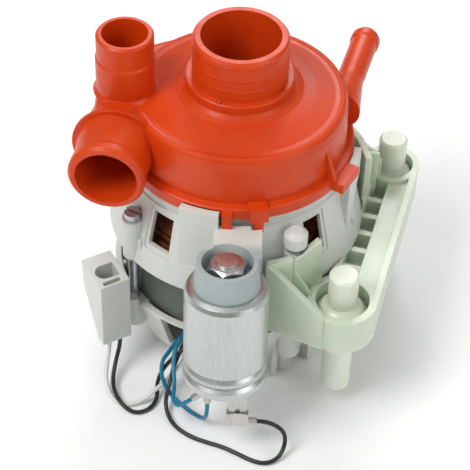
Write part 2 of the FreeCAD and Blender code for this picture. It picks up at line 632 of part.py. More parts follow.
def make_upper_bell():
    seat_r = bush_r + 0.05
    clip_r = bush_seat_r + 0.05
    boss = bush_seat_r + 2.6
    well_r = seal_r + 2.4
    bush_top = upper_bush_z + bush_len
    under = bell_top_z - bell_top_t
    body = turned_solid([
        (shaft_r + 1.4, bush_top + 0.02), (seat_r, bush_top + 0.02), (seat_r, upper_bush_z), (clip_r, upper_bush_z),
        (clip_r, upper_bush_z - 2.4), (boss, upper_bush_z - 2.4), (boss, seal_floor_z - 5.0),
        (well_r + 2.4, seal_floor_z - 3.4), (well_r + 2.4, under),
        (bell_r(under) - bell_wall, under), (upper_bell_foot_r - bell_wall, upper_bell_foot_z),
        (upper_bell_foot_r, upper_bell_foot_z), (upper_bell_top_r, bell_top_z - 0.7),
        (upper_bell_top_r - 0.8, bell_top_z), (well_r, bell_top_z), (well_r, seal_floor_z - 2.1),
        (shaft_r + 1.4, seal_floor_z - 2.1)])
    adds = []
    for angle in claw_angles:
        claw_in = flange_r + 0.35
        claw_out = claw_in + claw_t
        post = sector(claw_in, claw_out, angle, claw_half_deg, upper_bell_foot_z + 4, claw_top_z)
        hook = sector(flange_r - 1.0, claw_in + 0.5, angle, claw_half_deg - 1.5, claw_hook_z, claw_top_z)
        foot = sector(upper_bell_top_r - 2.0, claw_out, angle, claw_half_deg, upper_bell_foot_z + 4, bell_top_z - 1.0)
        adds += [post, hook, foot]
    for angle in screw_angles:
        p = polar(screw_circle_r, angle)
        adds.append(rod(screw_r + 2.2, upper_bell_foot_z, screw_seat_z, p.x, p.y))
        if angle in hooded_screws:
            hood_foot = screw_seat_z + screw_head_h + 0.6
            hood = rod(hood_r, hood_foot - 0.4, bell_top_z - 0.5, p.x, p.y)
            high_edge = [e for e in hood.Edges if e.BoundBox.ZMin > bell_top_z - 0.6]
            adds.append(hood.makeChamfer(hood_r * 0.45, high_edge))
    for i in range(12):
        rib = block(stator_r - 1.6, upper_bell_foot_r - 1.6, -1.1, 1.1, upper_bell_foot_z, window_foot_z)
        adds.append(spun(rib, 11.0 + 30.0 * i))
    arm = block(cap_x - 5.5, cap_x + 12.5, cap_y + 2.0, -43.0, cap_top_z - 6.5, cap_top_z)
    cheek = block(cap_x - 5.5, cap_x - 3.0, cap_y + 10.0, -44.5, -24.0, cap_top_z)
    other_cheek = block(cap_x + 10.0, cap_x + 12.5, cap_y + 10.0, -44.5, -24.0, cap_top_z)
    cup = lean(Part.makeCone(cup_r + 1.1, cup_r, cup_h, Vector(0, 0, -cup_h)))
    adds += [arm, cheek, other_cheek, cup]
    body = body.multiFuse(adds)
    cuts = [rod(stator_r + 0.06, upper_bell_foot_z - 1, core_top_z + 0.04),
            rod(flange_r + 0.3, bell_top_z + 0.001, flange_h + 0.1)]
    for angle, half in upper_windows:
        cuts.append(sector(stator_bore_r, upper_bell_foot_r + 2, angle, half, window_foot_z, window_top_z))
    for angle in screw_angles:
        p = polar(screw_circle_r, angle)
        cuts.append(rod(screw_r + 0.15, upper_bell_foot_z - 1, screw_seat_z + 1, p.x, p.y))
        head_room = screw_seat_z + screw_head_h + 0.6 if angle in hooded_screws else bell_top_z - 2.2
        cuts.append(rod(screw_head_r + 0.5, screw_seat_z, head_room, p.x, p.y))
    cuts.append(lean(rod(cup_bore_r, cup_floor_top, 3.0)))
    cuts.append(lean(rod(stud_hole_r, -cup_h - 1, 0)))
    cuts.append(lean(rod(can_r + 0.3, -cup_h - 50, -cup_h)))
    for angle in box_lug_angles:
        cuts.append(sector(flange_r - 1.2, flange_r + 2.8, angle, 3.2, -5.2, 0.5))
    low, high = window_foot_z - 2.0, window_top_z + 1.6
    skin = turned_solid([(bell_r(low) - 0.6, low), (bell_r(low) + 3, low), (bell_r(high) + 3, high),
                         (bell_r(high) - 0.6, high)])
    for angle, half in upper_windows:
        cuts.append(skin.common(sector(stator_bore_r, upper_bell_foot_r + 2, angle, half + 2.0, low, high)))
    duct_back = outlet_ring - outlet_dir * 2.0
    cuts.append(cone_between(outlet_mouth, outlet_ring_r + 0.6, duct_back, outlet_ring_r + 0.6))
    cuts.append(block(scroll_left_x - 0.5, 0, scroll_front_y - 0.5, casing_r, flange_h + 0.6, casing_shoulder_z + 1))
    return body.cut(Part.makeCompound(cuts)).removeSplitter()


upper_bell = make_upper_bell()
save("upper_bell", upper_bell)

# Lower bell: bearing seat, skirt round the stator's foot, fins that it stands on
fins = ((-67.5, 1.2), (-44.0, 2.6), (-12.0, 2.6), (20.0, 2.6), (72.0, 2.6), (100.0, 2.6), (154.0, 2.6),
        (196.0, 2.6))
round_fins = (-60.0, 44.0, 128.0)
lower_windows = (-92.0, -28.0, 4.0, 60.0, 86.0, 140.0, 174.0)
wire_window_deg = -118.0
wire_window_half_deg = 7.5


def make_lower_bell():
    seat_r = bush_r + 0.05
    clip_r = bush_seat_r + 0.05
    boss = bush_seat_r + 2.6
    bush_top = lower_bush_z + bush_len
    floor_top = lower_bell_foot_z + bell_wall
    top = lower_bell_top_z
    body = turned_solid([
        (0, lower_bell_foot_z), (lower_bell_foot_r - 1.5, lower_bell_foot_z),
        (lower_bell_foot_r, lower_bell_foot_z + 1.5), (lower_bell_top_r - 1.4, top - 6.5),
        (lower_bell_top_r, top - 2.5), (lower_bell_top_r, top), (lower_bell_top_r - bell_wall, top),
        (lower_bell_top_r - bell_wall, top - 2.5), (lower_bell_top_r - bell_wall - 1.4, top - 6.5),
        (lower_bell_foot_r - bell_wall, floor_top), (boss, floor_top), (boss, bush_top + 2.0),
        (clip_r, bush_top + 2.0), (clip_r, bush_top), (seat_r, bush_top), (seat_r, lower_bush_z - 0.02),
        (shaft_r + 1.4, lower_bush_z - 0.02), (shaft_r + 1.4, lower_bell_foot_z + 0.8), (0, lower_bell_foot_z + 0.8)])
    cavity = turned_solid([
        (boss, floor_top), (lower_bell_foot_r - bell_wall, floor_top), (lower_bell_top_r - bell_wall - 1.4, top - 6.5),
        (lower_bell_top_r - bell_wall, top - 2.5), (lower_bell_top_r - bell_wall, top), (boss, top)])
    adds = []
    for angle, half in fins:
        fin = block(lower_bell_foot_r - 5.0, lower_bell_foot_r + 3.2, -half, half, stand_z, top - 8.0)
        long_edges = [e for e in fin.Edges if abs(e.BoundBox.ZLength) < 1e-6 and e.BoundBox.ZMin < stand_z + 0.1
                      and e.BoundBox.XLength > 5]
        adds.append(spun(fin.makeChamfer(half * 0.6, long_edges).cut(cavity), angle))
    for angle in round_fins:
        p = polar(lower_bell_foot_r - 0.6, angle)
        fin = rod(3.7, stand_z, top - 8.0, p.x, p.y)
        low_edge = [e for e in fin.Edges if e.BoundBox.ZMax < stand_z + 0.1]
        adds.append(fin.makeChamfer(1.6, low_edge).cut(cavity))
    for angle in screw_angles:
        p = polar(screw_circle_r, angle)
        adds.append(rod(screw_r + 2.4, screw_end_z - 3.0, top - 0.5, p.x, p.y))
    for i in range(12):
        rib = block(stator_r - 1.8, lower_bell_top_r - 1.2, -1.1, 1.1, top - 7.5, core_low_z - 0.03)
        adds.append(spun(rib, 11.0 + 30.0 * i))
    body = body.multiFuse(adds)
    cuts = [rod(stator_r + 0.06, core_low_z - 0.03, top + 1)]
    for angle in lower_windows:
        cuts.append(sector(slot_out_r, lower_bell_top_r + 3, angle, 6.5, lower_bell_foot_z + 5.0, top - 8.0))
    cuts.append(sector(slot_out_r, lower_bell_top_r + 3, wire_window_deg, wire_window_half_deg,
                       lower_bell_foot_z + 5.0, core_low_z - 0.5))
    for angle in screw_angles:
        p = polar(screw_circle_r, angle)
        cuts.append(rod(screw_r + 0.03, screw_end_z - 0.5, top + 1, p.x, p.y))
    return body.cut(Part.makeCompound(cuts)).removeSplitter()


lower_bell = make_lower_bell()


def make_screw(angle):
    p = polar(screw_circle_r, angle)
    head = rod(screw_head_r, screw_seat_z + 0.02, screw_seat_z + screw_head_h, p.x, p.y)
    shank = rod(screw_r, screw_end_z, screw_seat_z + 1.0, p.x, p.y)
    slot = block(-0.5, 0.5, -screw_head_r - 1, screw_head_r + 1, screw_seat_z + 2.2, screw_seat_z + 4)
    slot.rotate(ORIGIN, UP, angle + 30)
    slot.translate(Vector(p.x, p.y, 0))
    return head.fuse(shank).cut(slot)


save("bell_screws", Part.makeCompound([make_screw(angle) for angle in screw_angles]))

# Capacitor
can_top = -cup_h - 0.03
can_low = -cup_h - can_len
can = turned_solid([
    (0, can_top), (cup_r + 0.6, can_top), (can_r - 2.4, can_top - 0.2), (can_r - 0.8, can_top - 1.0),
    (can_r, can_top - 2.7), (can_r, can_low + 10.8), (can_r - 0.7, can_low + 9.9), (can_r + 0.25, can_low + 8.4),
    (can_r + 0.1, can_low + 6.6), (can_r - 0.9, can_low + 4.9), (can_r + 0.3, can_low + 3.4),
    (can_r + 0.5, can_low + 1.7), (can_r + 0.2, can_low + 0.5), (can_r - 0.6, can_low), (0, can_low)])
save("capacitor_can", lean(can.fuse(rod(stud_r, -cup_h - 1, 0.6))))
base_top = can_low - 0.05
base_low = base_top - base_len
base = turned_solid([
    (0, base_top), (can_r - 2.0, base_top), (can_r - 2.0, base_low + 1.0), (can_r - 3.0, base_low), (0, base_low)])
tab_top = base_top - 0.6
tab_room = [block(1.0, 9.6, -9.4, -5.8, base_low - 1, tab_top + 0.05),
            block(-10.2, -3.8, -2.0, 1.6, base_low - 1, tab_top + 0.05)]
save("capacitor_base", lean(base.cut(Part.makeCompound(tab_room))))
washer = tube(7.9, stud_hole_r, cup_floor_top + 0.02, cup_floor_top + 0.92)
save("capacitor_washer", lean(washer))
nut = hexagon(nut_flats, cup_floor_top + 0.95, cup_floor_top + 0.95 + nut_h)
chamfer = Part.makeCone(nut_flats * 0.66, nut_flats * 0.46, 2.4, Vector(0, 0, cup_floor_top + 0.95 + nut_h - 2.4))
round_top = rod(nut_flats * 0.66, cup_floor_top + 0.9, cup_floor_top + nut_h - 1.44).fuse(chamfer)
nut = nut.common(round_top).cut(rod(stud_r + 0.02, cup_floor_top, 3))
save("capacitor_nut", lean(nut))
tab_foot = base_low - 13.2
tab_b_foot = base_low - 6.0


def make_fork(x0):
    """A flat terminal of two long blades side by side."""
    bridge = block(x0, x0 + 7.0, -8.0, -7.2, base_low - 1.6, tab_top)
    left = block(x0, x0 + 2.6, -8.0, -7.2, tab_foot, tab_top)
    right = block(x0 + 4.4, x0 + 7.0, -8.0, -7.2, tab_foot + 0.5, tab_top)
    return bridge.multiFuse([left, right])


tab_b = block(-9.3, -4.7, -0.6, 0.2, tab_b_foot, tab_top)
save("capacitor_tabs", lean(Part.makeCompound([make_fork(1.9), tab_b])))

# Suspension bracket: one ribbed moulding from the motor to two pin bosses
arm_run = high_boss - low_boss
arm_dir = arm_run * (1.0 / arm_run.Length)
arm_side = Vector(arm_dir.y, -arm_dir.x, 0)
low_bore_r = boss_r - boss_wall
high_bore_r = high_boss_r - boss_wall + 0.4


def make_suspension():
    z0 = boss_foot_z
    pieces = [rod(boss_r, z0, boss_top_z, low_boss.x, low_boss.y),
              rod(high_boss_r, z0, boss_top_z, high_boss.x, high_boss.y)]
    for side in (-1, 1):
        start = low_boss + arm_side * (side * (boss_r - rib_t / 2) * (1.0 if side > 0 else 0.55))
        end = high_boss + arm_side * (side * (high_boss_r - rib_t / 2) * (1.0 if side > 0 else 0.55))
        pieces.append(wall(start, end, rib_t, z0, boss_top_z))
    pieces.append(wall(low_boss + arm_side * 2.4, high_boss + arm_side * 2.4, 18.0, z0 + 5.0, z0 + 7.0))
    pieces.append(wall(low_boss + arm_side * 7.2, high_boss + arm_side * 5.8, 9.0, boss_top_z - 3.4, boss_top_z - 1.4))
    ribs = 6
    for i in range(1, ribs):
        middle = low_boss + arm_run * (0.13 + 0.74 * i / ribs)
        pieces.append(wall(middle - arm_side * 6.4, middle + arm_side * 3.4, 2.6, z0 + 0.5, boss_top_z - 3.0))
    front_a = polar(53.4, -76.5)
    front_b = low_boss + Vector(-7.0, -boss_r * 0.79, 0)
    pieces.append(wedge_wall(front_a, front_b, rib_t, z0, -15.5, boss_top_z))
    pad_mid = polar(53.2, -66.0)
    pad_end = polar(52.9, -53.0)
    pieces.append(wall(front_a, pad_mid, rib_t, z0 + 1.0, -15.5))
    pieces.append(wedge_wall(pad_mid, pad_end, rib_t, z0 + 1.0, -17.0, -11.5))
    pieces.append(wedge_wall(pad_end, low_boss + Vector(-8.5, 8.0, 0), rib_t, z0 + 1.0, -11.5, boss_top_z))
    pieces.append(wedge_wall(pad_mid, low_boss + Vector(-11.0, 2.0, 0), 1.8, z0 + 1.0, -20.0, boss_top_z - 1.0))
    plan = [front_a, front_b, low_boss, low_boss + Vector(-8.5, 8.0, 0), pad_end, pad_mid]
    floor = Part.Face(Part.makePolygon(plan + plan[:1]))
    floor.translate(Vector(0, 0, z0 + 0.5))
    pieces.append(floor.extrude(Vector(0, 0, 2.2)))
    inner = polar(53.0, 21.5)
    pieces.append(wedge_wall(inner, high_boss + Vector(-3.0, -6.0, 0), rib_t, z0, -14.0, boss_top_z + 6.0))
    pieces.append(wall(polar(52.9, 8.0), inner, rib_t, z0 + 6.0, -14.0))
    pieces.append(wall(inner, polar(53.2, 34.0), rib_t, z0 + 6.0, -14.0))
    pieces.append(wedge_wall(polar(53.2, 34.0), high_boss + Vector(-6.0, 5.0, 0), rib_t, z0, -20.0, boss_top_z))
    lug_a = polar(screw_circle_r + 1.0, screw_angles[1])
    lug_b = polar(screw_circle_r + 1.0, screw_angles[2])
    pieces.append(wall(lug_a, polar(54.0, screw_angles[1]), 11.0, z0 + 8.0, upper_bell_foot_z - 0.1))
    pieces.append(wall(lug_b, polar(54.0, screw_angles[2]), 11.0, z0 + 8.0, upper_bell_foot_z - 0.1))
    shape = pieces[0].multiFuse(pieces[1:])
    cuts = [rod(low_bore_r, z0 + boss_floor_t, boss_top_z + 30, low_boss.x, low_boss.y),
            rod(high_bore_r, z0 + boss_floor_t, boss_top_z + 30, high_boss.x, high_boss.y),
            rod(pin_r + 0.1, z0 - 1, boss_top_z, low_boss.x, low_boss.y),
            rod(pin_r + 0.1, z0 - 1, boss_top_z, high_boss.x, high_boss.y),
            rod(stator_r + 0.4, -70, 0)]
    for angle in (screw_angles[1], screw_angles[2]):
        p = polar(screw_circle_r, angle)
        cuts.append(rod(screw_r + 0.2, -70, 0, p.x, p.y))
    room = turned_solid([(0, upper_bell_foot_z), (upper_bell_foot_r + 0.6, upper_bell_foot_z),
                         (upper_bell_foot_r + 0.6, -20.0), (upper_bell_foot_r + 0.2, 0), (0, 0)])
    cuts.append(room)
    cuts.append(turned_solid([(0, -92), (lower_bell_top_r + 0.5, -92), (lower_bell_top_r + 0.5, lower_bell_top_z + 0.2),
                              (0, lower_bell_top_z + 0.2)]))
    for angle in screw_angles:
        p = polar(screw_circle_r, angle)
        cuts.append(rod(hood_r + 0.3, upper_bell_foot_z - 0.05, 0, p.x, p.y))
    return shape.cut(Part.makeCompound(cuts)).removeSplitter()


suspension = make_suspension()
save("suspension_bracket", suspension)


def make_pin(centre, collar_r):
    floor = boss_foot_z + boss_floor_t + 0.05
    outline = [(0, pin_foot_z), (pin_foot_r - 0.8, pin_foot_z), (pin_foot_r, pin_foot_z + 0.8),
               (pin_foot_r, boss_foot_z - 8.5), (pin_r + 1.6, boss_foot_z - 8.0), (pin_r + 1.6, boss_foot_z - 0.05),
               (pin_r, boss_foot_z - 0.05), (pin_r, floor), (collar_r, floor), (collar_r, pin_collar_z - 1.2),
               (collar_r - 1.2, pin_collar_z), (pin_r + 2.2, pin_collar_z + 1.6), (pin_r + 0.7, pin_collar_z + 2.6),
               (pin_r, pin_collar_z + 3.6), (pin_r, pin_top_z - 0.9), (pin_r - 0.9, pin_top_z), (0, pin_top_z)]
    pin = turned_solid(outline)
    pin.translate(centre)
    return pin


save("lower_pin", make_pin(low_boss, low_bore_r - 0.1))
save("upper_pin", make_pin(high_boss, high_bore_r - 0.1))

# Plug housing with two contacts, on a short arm of the lower bell
plug_centre = polar(lower_bell_top_r + plug_out, plug_angle)
plug_turn = FreeCAD.Placement(plug_centre, FreeCAD.Rotation(UP, plug_turn_deg))


def at_plug(shape):
    copy = shape.copy()
    copy.Placement = plug_turn.multiply(copy.Placement)
    return copy


def make_plug():
    """Housing seen from its side: deep at the top, sloping in towards the leads."""
    half_d = plug_d / 2
    side = [Vector(0, half_d, plug_top_z), Vector(0, -half_d, plug_top_z), Vector(0, -half_d, plug_top_z - plug_h),
            Vector(0, -half_d + 4.8, plug_top_z - plug_h), Vector(0, half_d - 5.0, plug_top_z - plug_h * 0.58),
            Vector(0, half_d - 1.2, plug_top_z - plug_h * 0.4)]
    body = Part.Face(Part.makePolygon(side + side[:1])).extrude(Vector(plug_w, 0, 0))
    body.translate(Vector(-plug_w / 2, 0, 0))
    deep = plug_top_z - plug_cavity
    cuts = [block(-1.9, 4.0, -4.6, 2.8, deep, plug_top_z + 1), rod(3.7, deep, plug_top_z + 1, -0.9, -0.9),
            block(-4.2, 3.0, -8.0, -6.1, deep, plug_top_z + 1)]
    for x in lead_hole_xs:
        cuts.append(rod(lead_hole_r, plug_top_z - plug_h - 1, deep + 1, x, lead_hole_y))
    return body.cut(Part.makeCompound(cuts))


save("plug_housing", at_plug(make_plug()))
contact_low = plug_top_z - plug_cavity + 0.02
contact = block(-0.4, 3.2, -1.2, -0.4, contact_low, plug_top_z - 5.0)
second = block(-3.4, 2.4, lead_hole_y - 0.5, lead_hole_y + 0.3, contact_low, plug_top_z - 4.0)
save("plug_contacts", at_plug(Part.makeCompound([contact, second])))
arm_tip = polar(lower_bell_top_r + plug_out - 6.0, plug_angle)
arm_root = polar(lower_bell_top_r - 1.0, plug_angle + 3.3)
carrier = wall(arm_root, arm_tip, 9.0, lower_bell_top_z - 7.4, lower_bell_top_z + 2.6)
carrier = carrier.cut(at_plug(block(-plug_w / 2 - 0.05, plug_w / 2 + 0.05, -plug_d, plug_d, -90, 0)))
carrier = carrier.cut(rod(lower_bell_top_r - 1.6, -90, 0))
for hole_angle in screw_angles:
    spot = polar(screw_circle_r, hole_angle)
    carrier = carrier.cut(rod(screw_r + 0.05, -90, 0, spot.x, spot.y))
save("lower_bell", lower_bell.fuse(carrier).removeSplitter())

# Push-on clips at the capacitor's terminals, each folded round its tab
clip_wall = 0.5
barrel_r = 1.45
barrel_len = 3.6


def make_push_clip(x0, x1, y_mid, z0, z1, slot_z):
    body = block(x0, x1, y_mid - 1.5, y_mid + 1.5, z0, z1)
    slot = block(x0 + clip_wall, x1 - clip_wall, y_mid - 0.45, y_mid + 0.45, slot_z, z1 + 1)
    rolled = block(x0 + 1.6, x1 - 1.6, y_mid - 2, y_mid - 1.1, z0 - 1, z1 + 1)
    return body.cut(Part.makeCompound([slot, rolled]))


def barrel(start, direction):
    return Part.makeCylinder(barrel_r, barrel_len, start, direction)


fork_clip_z = tab_foot - 1.6
black_exit = Vector(9.3 + barrel_len, -7.6, fork_clip_z)
fork_clip = make_push_clip(1.2, 9.6, -7.6, tab_foot - 3.2, tab_foot + 3.0, tab_foot - 0.05)
fork_clip = fork_clip.fuse(barrel(Vector(9.3, -7.6, fork_clip_z), Vector(1, 0, 0)))
blue_clip = make_push_clip(-10.0, -4.0, -0.2, tab_b_foot - 2.8, tab_b_foot + 3.4, tab_b_foot - 0.05)
blue_side = Vector(-9.4, -0.2, tab_b_foot - 2.0)
blue_exit = blue_side + Vector(-1, 0, -1) * (barrel_len * math.sqrt(0.5))
blue_down = Vector(-6.4, -0.2, tab_b_foot - 2.6 - barrel_len)
blue_clip = blue_clip.multiFuse([barrel(blue_side, Vector(-1, 0, -1)),
                                 barrel(blue_down + Vector(0, 0, barrel_len), Vector(0, 0, -1))])
save("capacitor_clips", lean(Part.makeCompound([fork_clip, blue_clip])))


# Leads: straight runs joined by arcs as large as the runs allow
def lead_path(points):
    edges = []
    radii = []
    here = points[0]
    for before, corner, after in zip(points, points[1:], points[2:]):
        run_in = before - corner
        run_out = after - corner
        half_turn = (math.pi - run_in.getAngle(run_out)) / 2
        trim = 0.45 * min(run_in.Length, run_out.Length)
        radii.append(trim / math.tan(half_turn))
        run_in.normalize()
        run_out.normalize()
        start = corner + run_in * trim
        end = corner + run_out * trim
        bisector = run_in + run_out
        bisector.normalize()
        centre_far = radii[-1] / math.cos(half_turn)
        middle = corner + bisector * (centre_far - radii[-1])
        edges.append(Part.LineSegment(here, start).toShape())
        edges.append(Part.Arc(start, middle, end).toShape())
        here = end
    edges.append(Part.LineSegment(here, points[-1]).toShape())
    return Part.Wire(edges), min(radii)


def save_lead(name, route):
    points = [Vector(*p) for p in route]
    path, tightest = lead_path(points)
    profile = Part.Wire(Part.makeCircle(lead_r, points[0], points[1] - points[0]))
    solid = path.makePipeShell([profile], True, False)
    section = math.pi * lead_r ** 2
    print(name, "length", round(path.Length, 1), "tightest", round(tightest, 1),
          "volume ratio", round(solid.Volume / (section * path.Length), 4))
    save(name, solid)


def leant(x, y, z):
    return tuple(cap_move.multVec(Vector(x, y, z)))


def below_plug(x, drop):
    return tuple(plug_turn.multVec(Vector(x, lead_hole_y, plug_top_z - plug_h - drop)))


white_route = [
    below_plug(lead_hole_xs[0], -3.0), below_plug(lead_hole_xs[0], 4.6), (-50.2, -44.0, -81.6), (-50.7, -51.0, -86.0),
    (-47.4, -58.0, floor_z), (-42.1, -61.3, floor_z), (-36.0, -59.6, -88.5), (-30.9, -56.5, -85.5),
    (-26.4, -52.5, -83.6), (-22.0, -49.0, -80.3), (-18.5, -45.4, -76.7), (-16.4, -40.4, -74.2)]
black_route = [
    below_plug(lead_hole_xs[1], -3.0), below_plug(lead_hole_xs[1], 4.6), (-46.9, -42.8, -82.8), (-47.9, -51.0, -87.1),
    (-44.6, -61.0, -86.6), (-38.4, -65.4, -88.9), (-31.9, -62.8, floor_z), (-29.2, -57.0, -88.6),
    (-29.8, -52.0, -85.6), (-27.6, -49.3, -79.9), (-23.6, -47.4, -75.2), (-19.2, -45.4, -71.8),
    (-16.6, -40.3, -70.2)]
capacitor_route = [
    (-19.0, -39.2, -74.4), (-21.4, -44.5, -76.4), (-23.3, -50.2, -78.3), (-24.7, -57.1, -81.7),
    (-26.1, -61.9, -87.0), (-23.0, -69.8, floor_z), (-15.8, -75.8, floor_z), (-8.6, -78.6, floor_z),
    (-2.4, -80.6, floor_z), (3.4, -83.8, floor_z), (9.3, -87.2, floor_z), (14.6, -88.4, floor_z),
    (19.4, -86.2, -88.2), (22.0, -81.8, -85.0), (21.4, -79.6, -79.4),
    leant(black_exit.x + 4.6, black_exit.y, black_exit.z), leant(black_exit.x + 0.02, black_exit.y, black_exit.z)]
blue_route = [
    (-19.3, -39.0, -69.4), (-22.3, -44.9, -70.1), (-23.3, -50.7, -74.1), (-22.4, -56.8, -77.8),
    (-22.4, -62.0, -79.4), (-22.6, -67.6, -77.6),
    leant(blue_exit.x - 5.4, blue_exit.y, blue_exit.z - 5.4), leant(blue_exit.x - 0.02, blue_exit.y, blue_exit.z - 0.02)]
second_blue_route = [
    (-21.8, -37.8, -74.4), (-25.1, -43.2, -75.7), (-28.0, -48.7, -75.9), (-27.7, -53.4, -80.8),
    (-24.5, -56.9, -85.2), (-19.6, -61.0, -87.6), (-14.6, -64.4, -88.6), (-10.4, -68.4, -87.2),
    leant(blue_down.x, blue_down.y, blue_down.z - 7.4), leant(blue_down.x, blue_down.y, blue_down.z - 0.02)]
save_lead("white_lead", white_route)
save_lead("black_lead", black_route)
save_lead("capacitor_lead", capacitor_route)
save_lead("blue_lead", blue_route)
save_lead("second_blue_lead", second_blue_route)
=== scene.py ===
"""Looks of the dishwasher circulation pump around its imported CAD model.

Metres, in the CAD model's frame: the origin is on the shaft axis at the inlet
spout's hose stop, +Z is up the shaft and -Y is towards the viewer.
"""
import json
import math

import bpy
from mathutils import Matrix, Vector


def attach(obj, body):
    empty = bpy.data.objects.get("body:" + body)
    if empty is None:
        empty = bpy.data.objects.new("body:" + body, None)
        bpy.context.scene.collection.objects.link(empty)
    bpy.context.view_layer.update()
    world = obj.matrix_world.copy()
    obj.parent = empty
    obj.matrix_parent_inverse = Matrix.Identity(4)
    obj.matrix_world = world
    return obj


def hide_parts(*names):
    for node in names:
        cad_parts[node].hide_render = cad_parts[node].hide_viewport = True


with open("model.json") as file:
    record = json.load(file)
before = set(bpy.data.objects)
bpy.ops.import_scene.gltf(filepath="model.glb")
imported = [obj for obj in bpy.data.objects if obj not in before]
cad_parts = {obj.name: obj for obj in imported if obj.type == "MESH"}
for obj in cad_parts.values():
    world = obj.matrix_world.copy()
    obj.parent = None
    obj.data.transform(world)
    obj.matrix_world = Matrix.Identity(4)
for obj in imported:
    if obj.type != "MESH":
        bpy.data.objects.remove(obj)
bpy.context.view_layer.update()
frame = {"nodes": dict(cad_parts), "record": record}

# Camera, solved from the round edges in the photograph
CAMERA_AT = (-0.0001, -0.4919, 0.3900)
CAMERA_PITCH_DEG = 43.99
CAMERA_ROLL_DEG = 1.73
CAMERA_LENS_MM = 127.53
CAMERA_SENSOR_MM = 36.0

# Stage
FLOOR_Z = -0.1234
FLOOR_HALF = 4.0
FLOOR_GREY = 0.97
ROOM_STRENGTH = 0.56
ROOM_DIM = 0.22
ROOM_BRIGHT = 1.0
LAMP_TARGET = (0, 0, -0.05)
LAMPS = (("key", (-0.5, -0.35, 0.75), 0.5, 5.6),
         ("fill", (0.7, -0.5, 0.35), 0.6, 2.0),
         ("back", (0.1, 0.8, 0.6), 0.5, 3.6))

# Pieces of the scene's own
SPOUT_R = 0.0182
SPOUT_RING_ZS = (0.0152, 0.0097, 0.0046)
SPOUT_RING_R = 0.0003
SPOUT_RING_SUNK = 0.00018
WEB_CORNERS = ((0.0490, 0.0170, -0.0530), (0.0575, 0.0155, -0.0524),
               (0.0565, 0.0150, -0.0834), (0.0495, 0.0150, -0.0834))
WEB_T = 0.0022
WEB_EDGE = 0.0004
LEAD_D = 0.0017

scene = bpy.context.scene
scene.view_settings.view_transform = "Standard"

camera_data = bpy.data.cameras.new("camera")
camera_data.lens = CAMERA_LENS_MM
camera_data.sensor_width = CAMERA_SENSOR_MM
camera = bpy.data.objects.new("camera", camera_data)
scene.collection.objects.link(camera)
pitch = Matrix.Rotation(math.radians(90 - CAMERA_PITCH_DEG), 4, "X")
roll = Matrix.Rotation(math.radians(CAMERA_ROLL_DEG), 4, "Z")
camera.matrix_world = Matrix.Translation(CAMERA_AT) @ pitch @ roll
scene.camera = camera


# Materials
def new_material(name):
    """A material with its shader, and functions that add and link nodes."""
    material = bpy.data.materials.new(name)
    material.use_nodes = True
    tree = material.node_tree
    shader = tree.nodes["Principled BSDF"]
    return material, tree, shader


def add(tree, kind, **values):
    """A node of this kind with its own settings."""
    node = tree.nodes.new(kind)
    for key, value in values.items():
        setattr(node, key, value)
    return node


def noise(tree, scale, detail=3.0, roughness=0.5, stretch=(1, 1, 1)):
    """Noise in the object's own metres; stretch makes it long or short along an axis."""
    place = add(tree, "ShaderNodeTexCoord")
    mapping = add(tree, "ShaderNodeMapping")
    mapping.inputs["Scale"].default_value = stretch
    tree.links.new(place.outputs["Object"], mapping.inputs["Vector"])
    texture = add(tree, "ShaderNodeTexNoise")
    texture.inputs["Scale"].default_value = scale
    texture.inputs["Detail"].default_value = detail
    texture.inputs["Roughness"].default_value = roughness
    tree.links.new(mapping.outputs["Vector"], texture.inputs["Vector"])
    return texture.outputs["Fac"]


def ramp(tree, source, low, high, low_at=0.3, high_at=0.7):
    """Colours or grey values between two ends, driven by a texture."""
    node = add(tree, "ShaderNodeValToRGB")
    node.color_ramp.elements[0].position = low_at
    node.color_ramp.elements[1].position = high_at
    node.color_ramp.elements[0].color = (*low, 1)
    node.color_ramp.elements[1].color = (*high, 1)
    tree.links.new(source, node.inputs["Fac"])
    return node.outputs["Color"]


def grey(value):
    """The same value three times."""
    return (value, value, value)


def bumped(tree, shader, height, strength, distance, edge=0.0):
    """Bump over rounded edges."""
    bump = add(tree, "ShaderNodeBump")
    bump.inputs["Strength"].default_value = strength
    bump.inputs["Distance"].default_value = distance
    tree.links.new(height, bump.inputs["Height"])
    if edge:
        bevel = add(tree, "ShaderNodeBevel", samples=6)
        bevel.inputs["Radius"].default_value = edge
        tree.links.new(bevel.outputs["Normal"], bump.inputs["Normal"])
    tree.links.new(bump.outputs["Normal"], shader.inputs["Normal"])


